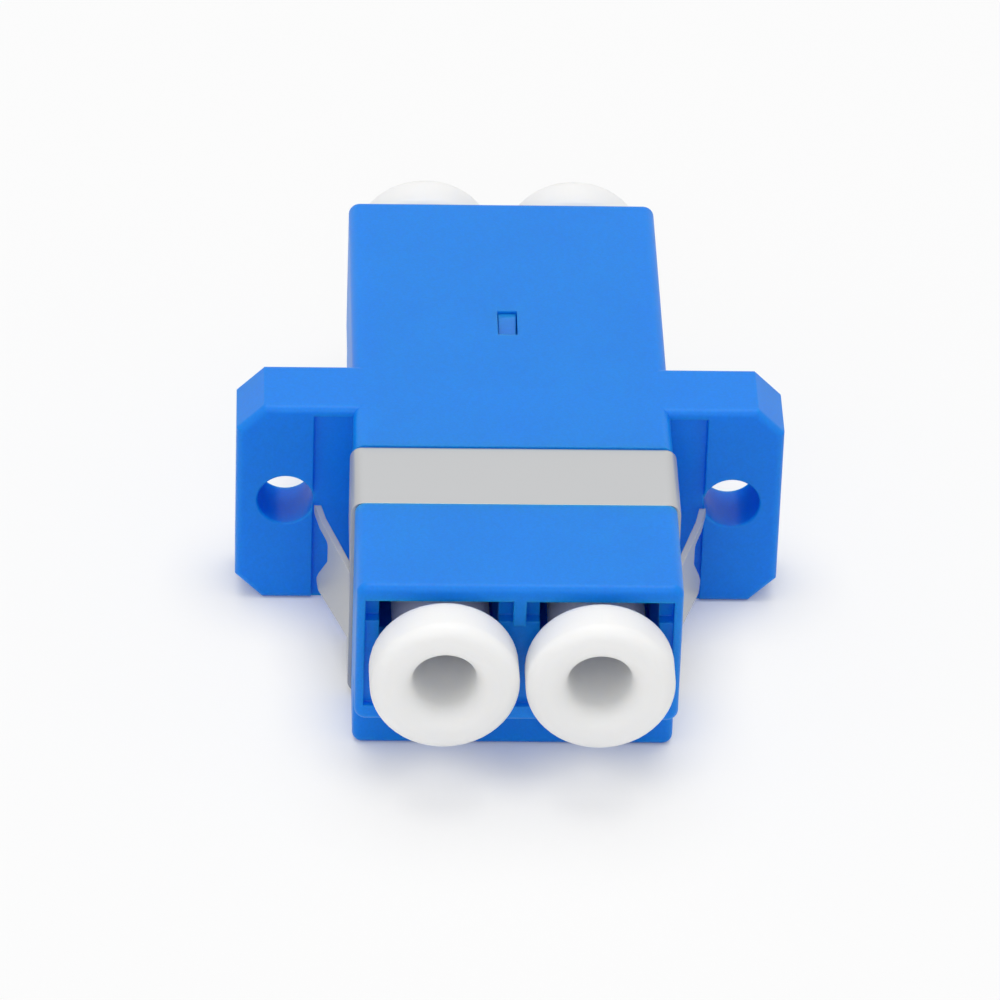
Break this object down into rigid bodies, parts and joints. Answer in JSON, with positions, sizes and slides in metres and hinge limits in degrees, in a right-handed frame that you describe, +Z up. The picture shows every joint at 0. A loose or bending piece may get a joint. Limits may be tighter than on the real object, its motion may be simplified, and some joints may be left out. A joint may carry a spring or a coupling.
{
  "type": "lc fibre adapter",
  "caption": "Duplex fibre-optic adapter: flanged rectangular plastic coupler with paired push-in ports at both ends, a steel panel spring clip and pull-out dust caps.",
  "frame": {"origin": "under the optical mating plane, midway between the ports, on the face that the adapter rests on; the mating plane is also the middle of the flange", "axes": "+X across the ports towards the right screw ear, +Y along the fibres towards the rear ports, +Z up"},
  "size_m": [0.022, 0.033, 0.0093],
  "materials": {
    "blue_plastic": "satin moulded, sea blue",
    "clip_steel": "rolled spring steel, satin",
    "ceramic": "ground white zirconia",
    "cap_plastic": "soft white moulded"
  },
  "bodies": {
    "adapter": {"housing": "blue_plastic", "rear_insert": "blue_plastic", "spring_clip": "clip_steel", "split_sleeve_left": "ceramic", "split_sleeve_right": "ceramic"},
    "cap_front_left": {"dust_cap_front_left": "cap_plastic"},
    "cap_front_right": {"dust_cap_front_right": "cap_plastic"},
    "cap_rear_left": {"dust_cap_rear_left": "cap_plastic"},
    "cap_rear_right": {"dust_cap_rear_right": "cap_plastic"}
  },
  "joints": [
    {"name": "cap_front_left_pull", "type": "slide", "parent": "adapter", "child": "cap_front_left", "axis": [0.0157, -0.9999, 0], "range_m": [0, 0.014]},
    {"name": "cap_front_right_pull", "type": "slide", "parent": "adapter", "child": "cap_front_right", "axis": [0, -1, 0], "range_m": [0, 0.014]},
    {"name": "cap_rear_left_pull", "type": "slide", "parent": "adapter", "child": "cap_rear_left", "axis": [0, 1, 0], "range_m": [0, 0.014]},
    {"name": "cap_rear_right_pull", "type": "slide", "parent": "adapter", "child": "cap_rear_right", "axis": [0, 1, 0], "range_m": [0, 0.014]}
  ]
}
